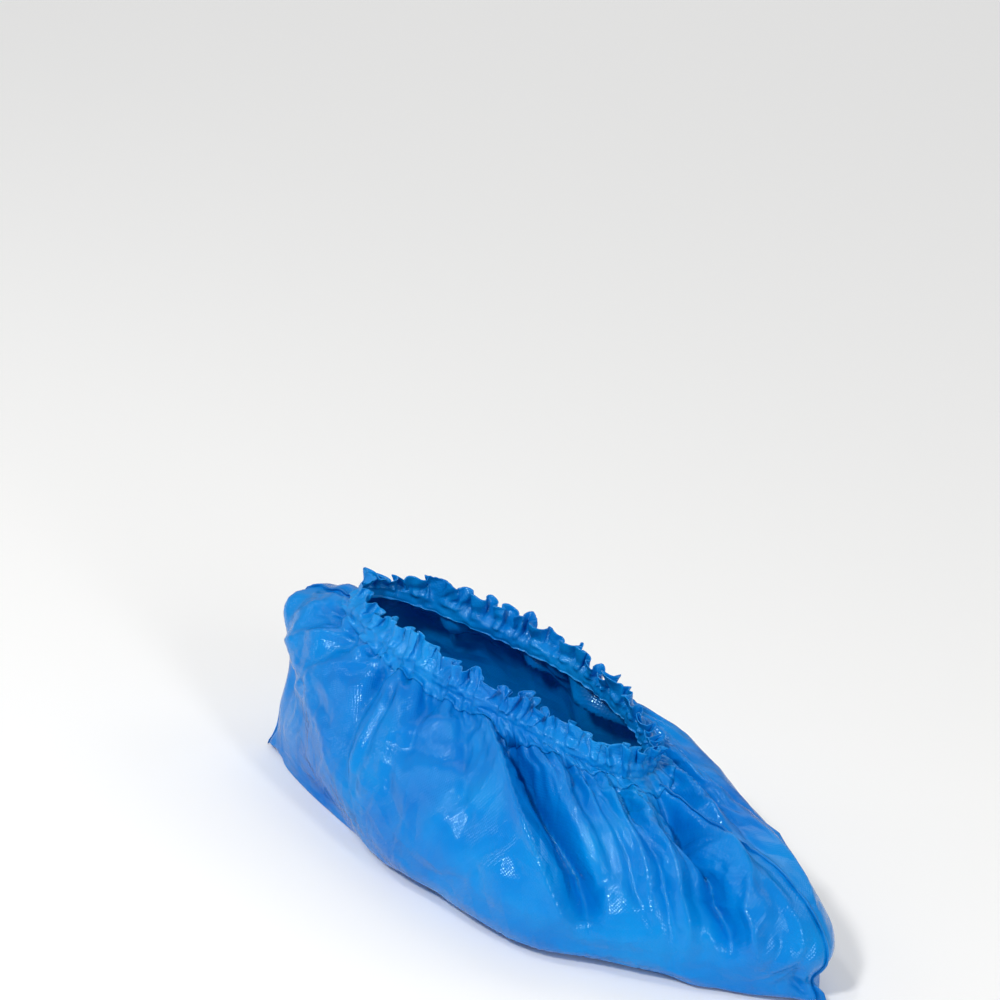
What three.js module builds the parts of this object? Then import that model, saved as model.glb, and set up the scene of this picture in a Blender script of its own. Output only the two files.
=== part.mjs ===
// A disposable overshoe of thin plastic film, in the puffed shape that it has round a foot.
// One folded sheet of film is the sole and both sides. A weld closes it up the heel and another up the toe.
// Round the opening the film's edge is folded down over an elastic, which gathers it into a ruffle.
// Millimetres, +Z up, toe towards +X. The origin is the middle of the sole, on the floor.
import * as THREE from 'three';

// The film's body
const coverLength = 284;
const coverWidth = 116;
const heelTwist = 17;
const filmWall = 1.2;

// The opening, measured on the middle line of the elastic
const openingLength = 150;
const openingNear = 26;
const openingFar = 31;
const openingSetBack = 38;
const elasticHeightHeel = 76;
const elasticHeightSide = 70;
const elasticHeightToe = 59;

// How the opening's ends are shaped: 1 is an ellipse's end, less is blunter
const openingEndShare = 0.9;

// The elastic and the hem that is folded over it
const elasticThickness = 1.0;
const elasticWidth = 3.0;
const elasticClearance = 0.6;
const hemWall = 1.0;
const hemSkirt = 1.5;
const hemOut = elasticThickness / 2 + elasticClearance + hemWall;
const frillHeight = 10.0;
const frillFlare = 1.5;

// Gathers
const gatherCount = 36;
const gatherCrowdingShare = 0.2;
const frillWaveDepth = 2.8;
const frillScallopHeight = 1.4;
const puckerDepth = 1.6;
const foldDepth = 9.0;
const dentDepth = 6.0;

// Where gathers and folds begin and end, as shares of the wall's height below the elastic
const puckerStart = { none: 0.02, full: 0.18 };
const puckerEndShare = 0.50;
const foldStart = { none: 0.05, full: 0.20 };
const foldFadeShare = 0.45;
const foldTopSpreadShare = 0.7;
const foldFootSpreadShare = 1.3;

// The sides are smooth this near to a weld, as a share of the way round
const weldClearShare = 0.04;

// The welded ends
const weldWidth = 1.6;
const weldThickness = 1.0;
const weldTopShare = 0.6;
const heelEarLength = 4.0;
const heelEarHeight = 4.5;
const toeEarLength = 5.0;
const toeEarHeight = 4.0;
const earDroopShare = 0.5;

// Pieces that touch keep this gap
const seatGap = 0.3;

// Resolution
const columnsPerGather = 4;
const columnCount = gatherCount * columnsPerGather;
const elasticStride = 2;
const wallRows = 12;
const arcSamples = 360;

// Half widths in plan at even steps from the heel's end to the toe's, as shares of an ellipse of the cover's
// length and width. The near side is a foot's outer side, and the far one its inner side.
const plan = [
  { name: 'heel end', near: 0.72, far: 1.25 },
  { name: 'heel', near: 0.86, far: 1.14 },
  { name: 'arch', near: 1.08, far: 1.02 },
  { name: 'instep', near: 1.22, far: 1.00 },
  { name: 'ball', near: 1.22, far: 1.06 },
  { name: 'toes', near: 0.90, far: 0.98 },
  { name: 'toe end', near: 0.70, far: 0.86 },
];

// How the film rises from the sole to the opening, a row for each level. The in columns say how far it has
// come from the widest outline to the opening's, and the up columns how much of the elastic's height it has.
const levels = [
  { name: 'sole edge', inHeel: 0.57, inSide: 0.38, inToe: 0.13, upHeel: 0.00, upSide: 0.00, upToe: 0.00 },
  { name: 'corner', inHeel: 0.46, inSide: 0.14, inToe: 0.01, upHeel: 0.05, upSide: 0.09, upToe: 0.06 },
  { name: 'notch', inHeel: 0.44, inSide: 0.03, inToe: 0.05, upHeel: 0.34, upSide: 0.19, upToe: 0.17 },
  { name: 'bulge', inHeel: 0.20, inSide: 0.00, inToe: 0.00, upHeel: 0.64, upSide: 0.31, upToe: 0.36 },
  { name: 'middle', inHeel: 0.12, inSide: 0.10, inToe: 0.08, upHeel: 0.80, upSide: 0.51, upToe: 0.60 },
  { name: 'upper', inHeel: 0.34, inSide: 0.35, inToe: 0.30, upHeel: 0.91, upSide: 0.73, upToe: 0.82 },
  { name: 'shoulder', inHeel: 0.70, inSide: 0.70, inToe: 0.65, upHeel: 0.97, upSide: 0.90, upToe: 0.92 },
  { name: 'neck', inHeel: 1.00, inSide: 1.00, inToe: 1.00, upHeel: 1.00, upSide: 1.00, upToe: 1.00 },
];

// At the same levels, a pinch over 1 narrows the outline's ends, and twist is the share of heelTwist by which
// the heel leans to the near side
const leans = [
  { name: 'sole edge', pinch: 1.15, twist: 1.0 },
  { name: 'corner', pinch: 1.40, twist: 1.0 },
  { name: 'notch', pinch: 1.05, twist: 0.6 },
  { name: 'bulge', pinch: 1.00, twist: 0.2 },
  { name: 'middle', pinch: 1.00, twist: 0.1 },
  { name: 'upper', pinch: 1.00, twist: 0.0 },
  { name: 'shoulder', pinch: 0.95, twist: 0.0 },
  { name: 'neck', pinch: 0.90, twist: 0.0 },
];

// Valleys that run down from the elastic. neck and foot are shares of the way round from the heel by the near
// side, and bow bends the line between them. depth is a share of foldDepth, and a ridge has a negative one.
// spread is a share of the way round and reach a share of the wall's height.
const folds = [
  { neck: 0.075, foot: 0.060, bow: 0.000, depth: 0.35, spread: 0.016, reach: 0.50 },
  { neck: 0.118, foot: 0.150, bow: 0.012, depth: 0.45, spread: 0.016, reach: 0.70 },
  { neck: 0.250, foot: 0.385, bow: 0.000, depth: -0.40, spread: 0.018, reach: 0.92 },
  { neck: 0.285, foot: 0.375, bow: -0.012, depth: 1.00, spread: 0.016, reach: 0.80 },
  { neck: 0.362, foot: 0.360, bow: -0.020, depth: 0.40, spread: 0.012, reach: 0.70 },
  { neck: 0.435, foot: 0.393, bow: -0.045, depth: 0.55, spread: 0.013, reach: 0.80 },
  { neck: 0.528, foot: 0.388, bow: -0.080, depth: 1.00, spread: 0.020, reach: 0.80 },
  { neck: 0.590, foot: 0.405, bow: -0.105, depth: -0.30, spread: 0.016, reach: 0.85 },
  { neck: 0.590, foot: 0.600, bow: 0.020, depth: 0.50, spread: 0.014, reach: 0.60 },
  { neck: 0.650, foot: 0.630, bow: 0.030, depth: 0.90, spread: 0.016, reach: 0.78 },
  { neck: 0.735, foot: 0.700, bow: 0.010, depth: -0.30, spread: 0.017, reach: 0.80 },
  { neck: 0.765, foot: 0.725, bow: 0.010, depth: 0.70, spread: 0.015, reach: 0.70 },
  { neck: 0.815, foot: 0.835, bow: 0.000, depth: 0.50, spread: 0.014, reach: 0.60 },
  { neck: 0.900, foot: 0.930, bow: 0.000, depth: 0.40, spread: 0.015, reach: 0.60 },
];

// Shallow hollows in the sides. around is a share of the way round, up a share of the wall's height.
const dents = [
  { around: 0.030, up: 0.37, depth: 1.10, wide: 0.030, high: 0.07 },
  { around: 0.130, up: 0.30, depth: 0.40, wide: 0.030, high: 0.16 },
  { around: 0.250, up: 0.34, depth: 0.45, wide: 0.035, high: 0.14 },
  { around: 0.740, up: 0.36, depth: 0.45, wide: 0.035, high: 0.15 },
  { around: 0.875, up: 0.40, depth: 0.50, wide: 0.030, high: 0.14 },
  { around: 0.970, up: 0.39, depth: 0.90, wide: 0.028, high: 0.08 },
];

// Relative height and depth of the ruffle's waves, repeated round the opening
const ruffleWaves = [
  { lift: 0.6, swing: 0.9 },
  { lift: -0.5, swing: 0.6 },
  { lift: 1.0, swing: 1.0 },
  { lift: 0.1, swing: 0.7 },
  { lift: -0.8, swing: 1.0 },
];

const filmBlue = 0x2a8fdc;
const hemBlue = 0x2f93e2;
const elasticWhite = 0xe9ecee;

const mix = THREE.MathUtils.lerp;
const turn = 2 * Math.PI;

function smooth(low, high, value) {
  return THREE.MathUtils.smoothstep(value, low, high);
}

// A value that is given at the heel, the side and the toe, at an angle from the heel round the plan
function around(angle, heel, side, toe) {
  const along = Math.cos(angle);
  const heelShare = Math.max(along, 0) ** 2;
  const toeShare = Math.max(-along, 0) ** 2;
  return side + (heel - side) * heelShare + (toe - side) * toeShare;
}

// A closed outline in plan from the heel by the near side to the toe and back
function outlinePoint(angle, heelX, toeX, nearWidth, farWidth, pinch) {
  const across = Math.sin(angle);
  const x = mix(heelX, toeX, (1 - Math.cos(angle)) / 2);
  const halfWidth = across > 0 ? nearWidth : farWidth;
  const y = -halfWidth * Math.sign(across) * Math.abs(across) ** pinch;
  return new THREE.Vector2(x, y);
}

// The elastic's middle line
function elasticPoint(angle) {
  const heelX = -coverLength / 2 + openingSetBack;
  const outline = outlinePoint(angle, heelX, heelX + openingLength, openingNear, openingFar, openingEndShare);
  const height = around(angle, elasticHeightHeel, elasticHeightSide, elasticHeightToe);
  return new THREE.Vector3(outline.x, outline.y, height);
}

const nearPlan = new THREE.SplineCurve(plan.map((row, k) => new THREE.Vector2(k, row.near)));
const farPlan = new THREE.SplineCurve(plan.map((row, k) => new THREE.Vector2(k, row.far)));

// The film at one level. Its top edge meets the hem's outer leaf from below.
function levelPoint(angle, level, lean) {
  const toeSetBack = coverLength - openingSetBack - openingLength;
  const heelX = -coverLength / 2 + level.inHeel * (openingSetBack - hemOut);
  const toeX = coverLength / 2 - level.inToe * (toeSetBack - hemOut);
  const along = (1 - Math.cos(angle)) / 2;
  const nearWidth = mix((coverWidth / 2) * nearPlan.getPoint(along).y, openingNear + hemOut, level.inSide);
  const farWidth = mix((coverWidth / 2) * farPlan.getPoint(along).y, openingFar + hemOut, level.inSide);
  const outline = outlinePoint(angle, heelX, toeX, nearWidth, farWidth, lean.pinch);
  const toNearSide = around(angle, lean.twist, 0, 0) * heelTwist;
  const share = around(angle, level.upHeel, level.upSide, level.upToe);
  const height = share * (elasticPoint(angle).z - hemSkirt - seatGap);
  return new THREE.Vector3(outline.x, outline.y - toNearSide, height);
}

// Lengths along the elastic from one end of the opening to the other, by the near side or by the far one
function sideLengths(startAngle) {
  const lengths = [0];
  for (let k = 1; k <= arcSamples; k += 1) {
    const from = elasticPoint(startAngle + (Math.PI * (k - 1)) / arcSamples);
    const to = elasticPoint(startAngle + (Math.PI * k) / arcSamples);
    lengths.push(lengths[k - 1] + from.distanceTo(to));
  }
  return lengths;
}

// Angles whose points are evenly spaced along each side of the elastic, and closer together towards the toe
function columnAngles() {
  const angles = [];
  for (const startAngle of [0, Math.PI]) {
    const lengths = sideLengths(startAngle);
    for (let column = 0; column < columnCount / 2; column += 1) {
      const even = (startAngle + (turn * column) / columnCount) / turn;
      const share = even + (gatherCrowdingShare / turn) * Math.sin(turn * even);
      const wanted = (2 * share - startAngle / Math.PI) * lengths[arcSamples];
      const k = Math.max(1, lengths.findIndex((length) => length >= wanted));
      const within = (wanted - lengths[k - 1]) / (lengths[k] - lengths[k - 1]);
      angles.push(startAngle + (Math.PI * (k - 1 + within)) / arcSamples);
    }
  }
  return angles;
}

const angles = columnAngles();

// The outward direction in plan from the elastic at a column
const planNormals = angles.map((angle) => {
  const halfStep = Math.PI / arcSamples;
  const along = elasticPoint(angle + halfStep).sub(elasticPoint(angle - halfStep));
  return new THREE.Vector3(along.y, -along.x, 0).normalize();
});

function bell(distance, spread) {
  return Math.exp(-((distance / spread) ** 2));
}

// Distance between two shares of the way round, by the shorter way
function shareGap(a, b) {
  const gap = Math.abs(a - b) % 1;
  return Math.min(gap, 1 - gap);
}

// How far the film lies inside its smooth form, at a share of the way round and of the wall's height
function foldInset(share, up) {
  const below = 1 - up;
  const atEnds = smooth(0, weldClearShare, Math.min(shareGap(share, 0), shareGap(share, 0.5)));
  const start = smooth(foldStart.none, foldStart.full, below);
  let inset = 0;
  for (const fold of folds) {
    const middle = mix(fold.foot, fold.neck, up) + fold.bow * Math.sin(Math.PI * up);
    const end = 1 - smooth(fold.reach * foldFadeShare, fold.reach, below);
    const spread = fold.spread * mix(foldTopSpreadShare, foldFootSpreadShare, below);
    inset += fold.depth * foldDepth * bell(shareGap(share, middle), spread) * start * end;
  }
  for (const dent of dents) {
    const place = bell(shareGap(share, dent.around), dent.wide) * bell(up - dent.up, dent.high);
    inset += dent.depth * dentDepth * place;
  }
  return inset * atEnds;
}

// Small pleats just below the elastic, a gather for each wave of the ruffle
function pucker(column, up) {
  const below = 1 - up;
  const start = smooth(puckerStart.none, puckerStart.full, below);
  const strength = start * (1 - smooth(puckerStart.full, puckerEndShare, below));
  const wave = Math.cos((turn * column) / columnsPerGather);
  return puckerDepth * strength * wave;
}

// The film's outer surface as rows of points, from the sole's edge up to the neck
function outerRows() {
  const curves = angles.map((angle) => {
    const points = levels.map((level, k) => levelPoint(angle, level, leans[k]));
    return new THREE.CatmullRomCurve3(points);
  });
  const smoothRows = [];
  for (let row = 0; row <= wallRows; row += 1) {
    smoothRows.push(curves.map((curve) => curve.getPoint(row / wallRows)));
  }
  const normals = rowNormals(smoothRows);
  return smoothRows.map((points, row) => points.map((point, column) => {
    const up = row / wallRows;
    const isEdge = row === 0 || row === wallRows;
    const shift = isEdge ? 0 : pucker(column, up) - foldInset(column / columnCount, up);
    return point.clone().addScaledVector(normals[row][column], shift);
  }));
}

// Outward normals of a grid of points, whose columns run round and whose rows run up
function rowNormals(rows) {
  return rows.map((points, row) => points.map((point, column) => {
    const next = points[(column + 1) % columnCount];
    const last = points[(column + columnCount - 1) % columnCount];
    const above = rows[Math.min(row + 1, rows.length - 1)][column];
    const under = rows[Math.max(row - 1, 0)][column];
    const round = next.clone().sub(last);
    const rise = above.clone().sub(under);
    return round.cross(rise).normalize();
  }));
}

// The inner surface lies one wall inside. The sole's edge and the neck's edge stay level with their
// neighbours.
function innerRows(outer) {
  const normals = rowNormals(outer);
  return outer.map((points, row) => points.map((point, column) => {
    if (row === 0) {
      const inward = point.clone().addScaledVector(planNormals[column], -filmWall);
      return inward.setZ(filmWall);
    }
    if (row === wallRows) {
      return point.clone().addScaledVector(planNormals[column], -filmWall);
    }
    return point.clone().addScaledVector(normals[row][column], -filmWall);
  }));
}

function meshFrom(points, triangles) {
  const geometry = new THREE.BufferGeometry();
  const coordinates = points.flatMap((point) => [point.x, point.y, point.z]);
  geometry.setAttribute('position', new THREE.Float32BufferAttribute(coordinates, 3));
  geometry.setIndex(triangles);
  geometry.computeVertexNormals();
  return geometry;
}

// Triangles of the wall between two rings of points, seen from outside
function bandTriangles(lower, upper, count = columnCount) {
  const triangles = [];
  for (let column = 0; column < count; column += 1) {
    const next = (column + 1) % count;
    triangles.push(lower + column, lower + next, upper + next);
    triangles.push(lower + column, upper + next, upper + column);
  }
  return triangles;
}

// Triangles that fill a ring in strips from the near side to the far one, facing up
function capTriangles(ring) {
  const triangles = [];
  for (let near = 0; near < columnCount / 2; near += 1) {
    const far = columnCount - near;
    if (near + 1 < far - 1) {
      triangles.push(ring + near, ring + near + 1, ring + far - 1);
    }
    if (near > 0) {
      triangles.push(ring + near, ring + far - 1, ring + far);
    }
  }
  return triangles;
}

function flipped(triangles) {
  const result = [];
  for (let k = 0; k < triangles.length; k += 3) {
    result.push(triangles[k], triangles[k + 2], triangles[k + 1]);
  }
  return result;
}

// The body is the outer rows up, then the inner rows down, with a cap under the sole and one inside it
function filmBodyGeometry(outer) {
  const rings = [...outer, ...innerRows(outer).reverse()];
  const triangles = [];
  for (let ring = 0; ring + 1 < rings.length; ring += 1) {
    triangles.push(...bandTriangles(ring * columnCount, (ring + 1) * columnCount));
  }
  triangles.push(...flipped(capTriangles(0)));
  triangles.push(...capTriangles((rings.length - 1) * columnCount));
  return meshFrom(rings.flat(), triangles);
}

// A ring with the given section, as {out, up} points that may change from column to column
function ringGeometry(sectionAt, stride) {
  const sections = [];
  for (let column = 0; column < columnCount; column += stride) {
    sections.push(sectionAt(column).map(({ out, up }) => {
      const point = elasticPoint(angles[column]).addScaledVector(planNormals[column], out);
      return point.setZ(point.z + up);
    }));
  }
  const count = sections.length;
  const corners = sections[0].length;
  const rings = [];
  const triangles = [];
  for (let corner = 0; corner < corners; corner += 1) {
    rings.push(sections.map((section) => section[corner]));
    triangles.push(...bandTriangles(corner * count, ((corner + 1) % corners) * count, count));
  }
  return meshFrom(rings.flat(), triangles);
}

function elasticSection() {
  const halfThickness = elasticThickness / 2;
  const halfWidth = elasticWidth / 2;
  return [
    { out: halfThickness, up: -halfWidth },
    { out: halfThickness, up: halfWidth },
    { out: -halfThickness, up: halfWidth },
    { out: -halfThickness, up: -halfWidth },
  ];
}

// The hem stands over the elastic as two leaves that join in the ruffle's edge
function hemSection(column) {
  const wave = ruffleWaves[Math.floor(column / columnsPerGather) % ruffleWaves.length];
  const swing = wave.swing * Math.cos((turn * column) / columnsPerGather);
  const channel = elasticThickness / 2 + elasticClearance;
  const roof = elasticWidth / 2 + elasticClearance;
  const edge = frillHeight + frillScallopHeight * wave.lift * Math.abs(swing);
  const middle = (roof + edge) / 2;
  const shiftEdge = frillFlare + frillWaveDepth * swing;
  const shiftMiddle = shiftEdge / 2;
  return [
    { out: hemOut, up: -hemSkirt },
    { out: hemOut, up: roof },
    { out: shiftMiddle + hemWall, up: middle },
    { out: shiftEdge + hemWall / 2, up: edge },
    { out: shiftEdge - hemWall / 2, up: edge },
    { out: shiftMiddle - hemWall, up: middle },
    { out: -hemOut, up: roof },
    { out: -hemOut, up: -hemSkirt },
    { out: -channel, up: -hemSkirt },
    { out: -channel, up: roof },
    { out: channel, up: roof },
    { out: channel, up: -hemSkirt },
  ];
}

// The two films welded face to face stand out from the body as a narrow fin. At its foot is the ear that
// is left of the flat cover's corner.
function weldGeometry(outer, column, earLength, earHeight) {
  const seam = outer.map((points) => points[column]);
  const normals = rowNormals(outer);
  const cornerRow = Math.ceil(wallRows / (levels.length - 1));
  const rings = [];
  for (let row = cornerRow; row < wallRows; row += 1) {
    const isTop = row === wallRows - 1;
    const foot = isTop ? seam[row].clone().lerp(seam[row + 1], weldTopShare) : seam[row];
    const outward = normals[row][column];
    const rise = seam[row + 1].clone().sub(seam[row - 1]);
    const across = rise.cross(outward).setLength(weldThickness / 2);
    const ear = earLength * bell(seam[row].z - seam[cornerRow].z, earHeight);
    const root = foot.clone().addScaledVector(outward, seatGap);
    const edge = foot.clone().addScaledVector(outward, seatGap + Math.max(weldWidth, ear));
    if (row === cornerRow) {
      edge.z -= earDroopShare * foot.z;
    }
    const under = across.clone().negate();
    rings.push([[edge, under], [edge, across], [root, across], [root, under]].map(([point, side]) => (
      point.clone().add(side)
    )));
  }
  const corners = rings[0].length;
  const triangles = [];
  for (let ring = 0; ring + 1 < rings.length; ring += 1) {
    triangles.push(...bandTriangles(ring * corners, (ring + 1) * corners, corners));
  }
  const top = (rings.length - 1) * corners;
  triangles.push(0, 2, 1, 0, 3, 2, top, top + 1, top + 2, top, top + 2, top + 3);
  return meshFrom(rings.flat(), triangles);
}

function piece(name, geometry, color, roughness) {
  const material = new THREE.MeshStandardMaterial({ color, roughness, metalness: 0 });
  const mesh = new THREE.Mesh(geometry, material);
  mesh.name = name;
  return mesh;
}

const outer = outerRows();
const heelColumn = 0;
const toeColumn = columnCount / 2;

const cover = new THREE.Group();
cover.add(piece('film_body', filmBodyGeometry(outer), filmBlue, 0.35));
cover.add(piece('ruffled_hem', ringGeometry(hemSection, 1), hemBlue, 0.35));
cover.add(piece('elastic', ringGeometry(elasticSection, elasticStride), elasticWhite, 0.7));
cover.add(piece('heel_weld', weldGeometry(outer, heelColumn, heelEarLength, heelEarHeight), filmBlue, 0.4));
cover.add(piece('toe_weld', weldGeometry(outer, toeColumn, toeEarLength, toeEarHeight), filmBlue, 0.4));

export default cover;
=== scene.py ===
"""A disposable overshoe of thin blue film, in the puffed shape that it has round a foot."""
import math

import bpy
import numpy as np
from mathutils import Matrix, Vector


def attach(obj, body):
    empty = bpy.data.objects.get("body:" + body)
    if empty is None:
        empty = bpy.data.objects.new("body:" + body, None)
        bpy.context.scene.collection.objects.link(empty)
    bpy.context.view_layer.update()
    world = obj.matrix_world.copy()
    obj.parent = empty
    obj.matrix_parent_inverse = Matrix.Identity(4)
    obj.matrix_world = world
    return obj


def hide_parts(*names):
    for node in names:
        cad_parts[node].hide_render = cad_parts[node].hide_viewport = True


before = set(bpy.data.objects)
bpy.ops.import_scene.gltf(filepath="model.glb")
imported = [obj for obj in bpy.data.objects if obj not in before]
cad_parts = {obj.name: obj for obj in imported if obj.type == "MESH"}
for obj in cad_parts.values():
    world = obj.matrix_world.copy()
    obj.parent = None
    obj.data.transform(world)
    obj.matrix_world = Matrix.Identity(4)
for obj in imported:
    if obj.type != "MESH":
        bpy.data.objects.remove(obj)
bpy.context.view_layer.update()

# Film body.
# One folded sheet of polyethylene film, about 0.03 mm thick, is the sole and both sides.
# It stands away from the foot in creased panels, and the elastic draws its upper edge into pleats.

MM = 0.001

cover_length = 284.0
cover_width = 116.0
heel_twist = 17.0
opening_length = 150.0
opening_near = 26.0
opening_far = 31.0
opening_set_back = 38.0
elastic_height = {"heel": 76.0, "side": 70.0, "toe": 59.0}
opening_bluntness = 0.9
hem_out = 2.1
neck_drop = 1.8
film_thickness = 0.35

gather_count = 36
gather_crowding = 0.2
columns_per_gather = 12
column_count = gather_count * columns_per_gather
wall_rows = 98
sole_rings = 10
sole_ring_step = 4.0
outline_steps = 1441

# Half widths in plan from the heel's end to the toe's, as shares of an ellipse
plan_near = np.array([0.72, 0.93, 1.13, 1.21, 1.22, 0.90, 0.70])
plan_far = np.array([1.25, 1.14, 1.02, 1.00, 1.06, 0.98, 0.86])

# A row for each level from the sole to the neck: how far in it lies and how high, as shares, and how its ends
# are shaped
LEVEL = ("in_heel", "in_side", "in_toe", "up_heel", "up_side", "up_toe", "pinch", "twist")
levels = [dict(zip(LEVEL, row)) for row in (
    (0.66, 0.38, 0.13, 0.00, 0.00, 0.00, 1.15, 1.0),
    (0.58, 0.14, 0.01, 0.05, 0.09, 0.06, 1.40, 1.0),
    (0.48, 0.03, 0.05, 0.34, 0.19, 0.17, 1.05, 0.75),
    (0.20, 0.00, 0.00, 0.64, 0.31, 0.36, 1.00, 0.2),
    (0.12, 0.10, 0.08, 0.80, 0.51, 0.60, 1.00, 0.1),
    (0.34, 0.35, 0.30, 0.91, 0.73, 0.82, 1.00, 0.0),
    (0.70, 0.70, 0.65, 0.97, 0.90, 0.92, 0.95, 0.0),
    (1.00, 1.00, 1.00, 1.00, 1.00, 1.00, 0.90, 0.0),
)]


def mix(a, b, share):
    return a + (b - a) * share


def smooth(low, high, value):
    share = np.clip((value - low) / (high - low), 0.0, 1.0)
    return share * share * (3.0 - 2.0 * share)


def around(angle, heel, side, toe):
    """A value given at the heel, the side and the toe, at an angle round the plan from the heel."""
    along = np.cos(angle)
    return side + (heel - side) * np.maximum(along, 0.0) ** 2 + (toe - side) * np.maximum(-along, 0.0) ** 2


def table_spline(values, share):
    """A smooth curve through values that are evenly spaced over shares from 0 to 1."""
    last = len(values) - 1
    at = np.clip(share, 0.0, 1.0) * last
    k = np.minimum(at.astype(int), last - 1)
    t = at - k
    p0, p1 = values[np.maximum(k - 1, 0)], values[k]
    p2, p3 = values[k + 1], values[np.minimum(k + 2, last)]
    bend = 2.0 * p0 - 5.0 * p1 + 4.0 * p2 - p3
    return 0.5 * (2.0 * p1 + (p2 - p0) * t + bend * t ** 2 + (3.0 * p1 - p0 - 3.0 * p2 + p3) * t ** 3)


def outline_point(angle, heel_x, toe_x, near_width, far_width, pinch):
    across = np.sin(angle)
    x = mix(heel_x, toe_x, (1.0 - np.cos(angle)) / 2.0)
    half_width = np.where(across > 0.0, near_width, far_width)
    return x, -half_width * np.sign(across) * np.abs(across) ** pinch


def elastic_point(angle):
    """The elastic's middle line, in millimetres."""
    heel_x = -cover_length / 2.0 + opening_set_back
    x, y = outline_point(angle, heel_x, heel_x + opening_length, opening_near, opening_far, opening_bluntness)
    height = around(angle, elastic_height["heel"], elastic_height["side"], elastic_height["toe"])
    return np.stack([x, y, height], axis=-1)


def level_point(angle, level):
    """A level's points at angles round the plan, in millimetres."""
    toe_set_back = cover_length - opening_set_back - opening_length
    heel_x = -cover_length / 2.0 + level["in_heel"] * (opening_set_back - hem_out)
    toe_x = cover_length / 2.0 - level["in_toe"] * (toe_set_back - hem_out)
    along = (1.0 - np.cos(angle)) / 2.0
    half_cover = cover_width / 2.0
    near_width = mix(half_cover * table_spline(plan_near, along), opening_near + hem_out, level["in_side"])
    far_width = mix(half_cover * table_spline(plan_far, along), opening_far + hem_out, level["in_side"])
    x, y = outline_point(angle, heel_x, toe_x, near_width, far_width, level["pinch"])
    y = y - around(angle, level["twist"], 0.0, 0.0) * heel_twist
    share = around(angle, level["up_heel"], level["up_side"], level["up_toe"])
    return np.stack([x, y, share * (elastic_point(angle)[..., 2] - neck_drop)], axis=-1)


def column_angles(count):
    """Angles whose points are evenly spaced along each side of the elastic, but closer at the toe."""
    angles = []
    for start in (0.0, math.pi):
        fine = start + np.linspace(0.0, math.pi, outline_steps)
        steps = np.linalg.norm(np.diff(elastic_point(fine), axis=0), axis=1)
        lengths = np.concatenate([[0.0], np.cumsum(steps)])
        even = (start + 2.0 * math.pi * np.arange(count // 2) / count) / (2.0 * math.pi)
        share = even + gather_crowding / (2.0 * math.pi) * np.sin(2.0 * math.pi * even)
        angles.append(np.interp((2.0 * share - start / math.pi) * lengths[-1], lengths, fine))
    return np.concatenate(angles)


def level_curves(angles, rows):
    """Centripetal curves through the levels, a column for each angle, as rows, columns and x, y, z."""
    points = np.stack([level_point(angles, level) for level in levels])
    first = 2.0 * points[:1] - points[1:2]
    last = 2.0 * points[-1:] - points[-2:-1]
    points = np.concatenate([first, points, last])
    at = np.linspace(0.0, len(levels) - 1.0, rows + 1)
    k = np.minimum(at.astype(int), len(levels) - 2)
    t = (at - k)[:, None, None]
    p0, p1, p2, p3 = (points[k + step] for step in range(4))
    pairs = ((p0, p1), (p1, p2), (p2, p3))
    d0, d1, d2 = (np.sqrt(np.linalg.norm(b - a, axis=-1, keepdims=True)) for a, b in pairs)
    m1 = ((p1 - p0) / d0 - (p2 - p0) / (d0 + d1) + (p2 - p1) / d1) * d1
    m2 = ((p2 - p1) / d1 - (p3 - p1) / (d1 + d2) + (p3 - p2) / d2) * d1
    return p1 + m1 * t + (3.0 * (p2 - p1) - 2.0 * m1 - m2) * t ** 2 + (2.0 * (p1 - p2) + m1 + m2) * t ** 3


def grid_normals(points):
    """Outward normals of a grid whose columns run round and whose rows run up."""
    turn_way = np.roll(points, -1, axis=1) - np.roll(points, 1, axis=1)
    rise = np.gradient(points, axis=0)
    normals = np.cross(turn_way, rise)
    return normals / np.maximum(np.linalg.norm(normals, axis=-1, keepdims=True), 1e-9)


angles = column_angles(column_count)
wall = level_curves(angles, wall_rows)
share_round = (np.arange(column_count) / column_count)[None, :]
share_up = (np.arange(wall_rows + 1) / wall_rows)[:, None]
below = 1.0 - share_up

# Lengths over the surface, in millimetres, round at the bulge and up from the sole
round_steps = np.linalg.norm(np.diff(wall[wall_rows // 2], axis=0), axis=1)
round_length = np.concatenate([[0.0], np.cumsum(round_steps)])
round_length = np.broadcast_to(round_length[None, :], wall.shape[:2])
up_steps = np.linalg.norm(np.diff(wall, axis=0), axis=-1)
up_length = np.concatenate([np.zeros((1, column_count)), np.cumsum(up_steps, axis=0)])

# Folds and pleats run down from the elastic and draw together over the toe. Each row follows one of them:
# where it leaves the elastic, and where it lies at the upper and middle wall, as shares of the way round.
FLOW = ("neck", "upper", "middle")
flow_rows = [dict(zip(FLOW, row)) for row in (
    (0.000, 0.000, 0.000),
    (0.200, 0.200, 0.200),
    (0.278, 0.297, 0.316),
    (0.366, 0.342, 0.345),
    (0.387, 0.359, 0.356),
    (0.440, 0.390, 0.376),
    (0.475, 0.411, 0.390),
    (0.530, 0.449, 0.415),
    (0.562, 0.487, 0.441),
    (0.613, 0.545, 0.500),
    (0.700, 0.680, 0.670),
    (1.000, 1.000, 1.000),
)]
upper_up = 0.8
middle_up = 0.6


def flow_between(at_neck, at_upper, at_middle):
    """A value at each place on the wall, from its values at the elastic, upper wall and middle wall."""
    high = mix(at_neck, at_upper, np.clip(below / (1.0 - upper_up), 0.0, 1.0))
    return mix(high, at_middle, np.clip((upper_up - share_up) / (upper_up - middle_up), 0.0, 1.0))


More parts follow.
